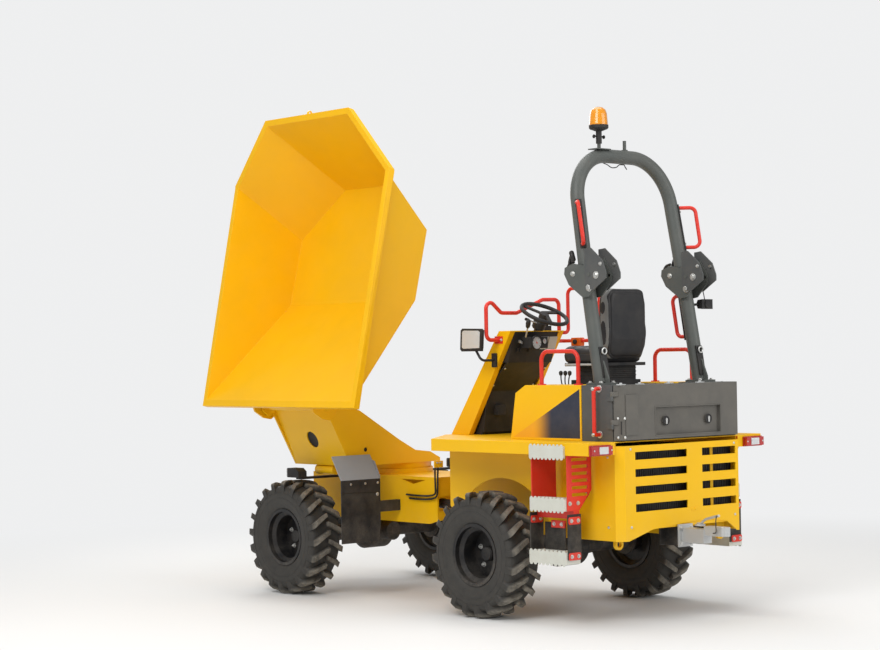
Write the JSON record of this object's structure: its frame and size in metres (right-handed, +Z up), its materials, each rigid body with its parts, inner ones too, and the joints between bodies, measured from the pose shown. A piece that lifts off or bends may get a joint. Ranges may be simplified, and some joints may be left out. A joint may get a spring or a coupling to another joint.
{
  "type": "site dumper",
  "caption": "Articulated site dumper with a swivel tipping skip on its front chassis, an open operator's station, a folding roll bar and a flashing beacon",
  "frame": {"origin": "on the ground, at the middle of the footprint as posed: skip slewed to the left and tipped", "axes": "+X points forward, +Y to the machine's left, +Z up"},
  "size_m": [4.3099, 1.974, 3.6029],
  "materials": {
    "yellow_paint": "semi-gloss",
    "red_paint": "semi-gloss",
    "dark_grey_paint": "satin",
    "black_paint": "satin",
    "tyre_rubber": "matt",
    "galvanised": "matt zinc",
    "ram_chrome": "polished",
    "seat_vinyl": "matt",
    "black_plastic": "matt",
    "amber_lens": "clear gloss",
    "clear_lens": "clear gloss",
    "red_lens": "gloss",
    "strap_rubber": "matt",
    "cast_metal": "rough"
  },
  "bodies": {
    "rear_chassis": {"rear_axle": "cast_metal", "rear_frame": "yellow_paint", "engine_block": "cast_metal", "deck": "yellow_paint", "side_skins": "yellow_paint", "grille_panel": "yellow_paint", "side_box_left": "yellow_paint", "side_box_right": "yellow_paint", "corner_box_left": "dark_grey_paint", "corner_box_right": "dark_grey_paint", "seat_deck": "dark_grey_paint", "seat_base": "black_plastic", "seat_cushion": "seat_vinyl", "seat_back": "seat_vinyl", "dash_tower": "yellow_paint", "dash_panel": "black_plastic", "foot_plate": "dark_grey_paint", "steering_column": "black_paint", "rops_lower": "black_paint", "leg_handle": "red_paint", "guard_rails": "red_paint", "hip_hoops": "red_paint", "corner_handles": "red_paint", "mirror_arm": "black_paint", "mirror_head": "black_plastic", "step_frames": "red_paint", "step_treads": "galvanised", "step_straps": "strap_rubber", "rear_lamp_housings": "black_plastic", "rear_lamp_lenses": "red_lens", "hitch_bracket": "black_paint", "tow_hitch": "galvanised"},
    "front_chassis": {"front_frame": "yellow_paint", "front_axle": "cast_metal", "slew_ring": "cast_metal", "mudguards": "black_plastic", "front_lamps": "black_plastic", "front_lamp_lenses": "clear_lens"},
    "swivel": {"swivel_frame": "yellow_paint"},
    "skip_body": {"skip": "yellow_paint"},
    "tip_barrel": {"tip_ram_barrel": "black_paint"},
    "tip_rod": {"tip_ram_rod": "ram_chrome"},
    "steering_barrel": {"steering_ram_barrel": "black_paint"},
    "steering_rod": {"steering_ram_rod": "ram_chrome"},
    "hand_wheel": {"steering_wheel": "black_plastic"},
    "roll_bar_bow": {"rops_upper": "black_paint", "beacon_base": "black_plastic", "beacon": "amber_lens", "bow_handles": "red_paint"},
    "cover": {"rear_cover": "dark_grey_paint"},
    "wheel_front_left": {"tyre_front_left": "tyre_rubber", "rim_front_left": "black_paint"},
    "wheel_front_right": {"tyre_front_right": "tyre_rubber", "rim_front_right": "black_paint"},
    "wheel_rear_left": {"tyre_rear_left": "tyre_rubber", "rim_rear_left": "black_paint"},
    "wheel_rear_right": {"tyre_rear_right": "tyre_rubber", "rim_rear_right": "black_paint"}
  },
  "joints": [
    {"name": "articulation", "type": "hinge", "parent": "rear_chassis", "child": "front_chassis", "pos_m": [0.175, -0.095, 0.68], "axis": [0, 0, 1], "range_deg": [-33, 33]},
    {"name": "slew", "type": "hinge", "parent": "front_chassis", "child": "swivel", "pos_m": [1.225, -0.095, 0.93], "axis": [0, 0, 1], "range_deg": [-180, 0]},
    {"name": "skip_tip", "type": "hinge", "parent": "swivel", "child": "skip_body", "pos_m": [1.225, 0.785, 1.4], "axis": [-1, 0, 0], "range_deg": [-76.5, 0]},
    {"name": "tip_barrel_swing", "type": "hinge", "parent": "swivel", "child": "tip_barrel", "pos_m": [1.225, 0.155, 1.02], "axis": [1, 0, 0], "range_deg": [-3.6, 0.2]},
    {"name": "tip_rod_slide", "type": "slide", "parent": "tip_barrel", "child": "tip_rod", "axis": [0, 0.6914, 0.7225], "range_m": [-0.2775, 0.001]},
    {"name": "steering_barrel_swing", "type": "hinge", "parent": "rear_chassis", "child": "steering_barrel", "pos_m": [0.075, 0.085, 0.68], "axis": [0, 0, 1], "range_deg": [-28, 28]},
    {"name": "steering_rod_slide", "type": "slide", "parent": "steering_barrel", "child": "steering_rod", "axis": [0.9993, 0.0363, 0], "range_m": [-0.1045, 0.1045]},
    {"name": "steering_wheel_turn", "type": "hinge", "parent": "rear_chassis", "child": "hand_wheel", "pos_m": [-0.505, -0.095, 2.04], "axis": [-0.454, 0, 0.891], "continuous": true},
    {"name": "rops_fold", "type": "hinge", "parent": "rear_chassis", "child": "roll_bar_bow", "pos_m": [-1.47, -0.095, 2.272], "axis": [0, -1, 0], "range_deg": [0, 155]},
    {"name": "rear_cover_swing", "type": "hinge", "parent": "rear_chassis", "child": "cover", "pos_m": [-1.725, 0.522, 1.37], "axis": [0, 0, -1], "range_deg": [0, 110]},
    {"name": "wheel_front_left_turn", "type": "hinge", "parent": "front_chassis", "child": "wheel_front_left", "pos_m": [1.425, 0.657, 0.4225], "axis": [0, 1, 0], "continuous": true},
    {"name": "wheel_front_right_turn", "type": "hinge", "parent": "front_chassis", "child": "wheel_front_right", "pos_m": [1.425, -0.847, 0.4225], "axis": [0, 1, 0], "continuous": true},
    {"name": "wheel_rear_left_turn", "type": "hinge", "parent": "rear_chassis", "child": "wheel_rear_left", "pos_m": [-0.675, 0.657, 0.4225], "axis": [0, 1, 0], "continuous": true},
    {"name": "wheel_rear_right_turn", "type": "hinge", "parent": "rear_chassis", "child": "wheel_rear_right", "pos_m": [-0.675, -0.847, 0.4225], "axis": [0, 1, 0], "continuous": true}
  ],
  "couplings": [
    {"joint": "tip_barrel_swing", "follows": "skip_tip", "ratio": 0.0462},
    {"joint": "tip_rod_slide", "follows": "skip_tip", "m_per_rad": 0.2065},
    {"joint": "steering_barrel_swing", "follows": "articulation", "ratio": 0.832},
    {"joint": "steering_rod_slide", "follows": "articulation", "m_per_rad": -0.1807}
  ]
}
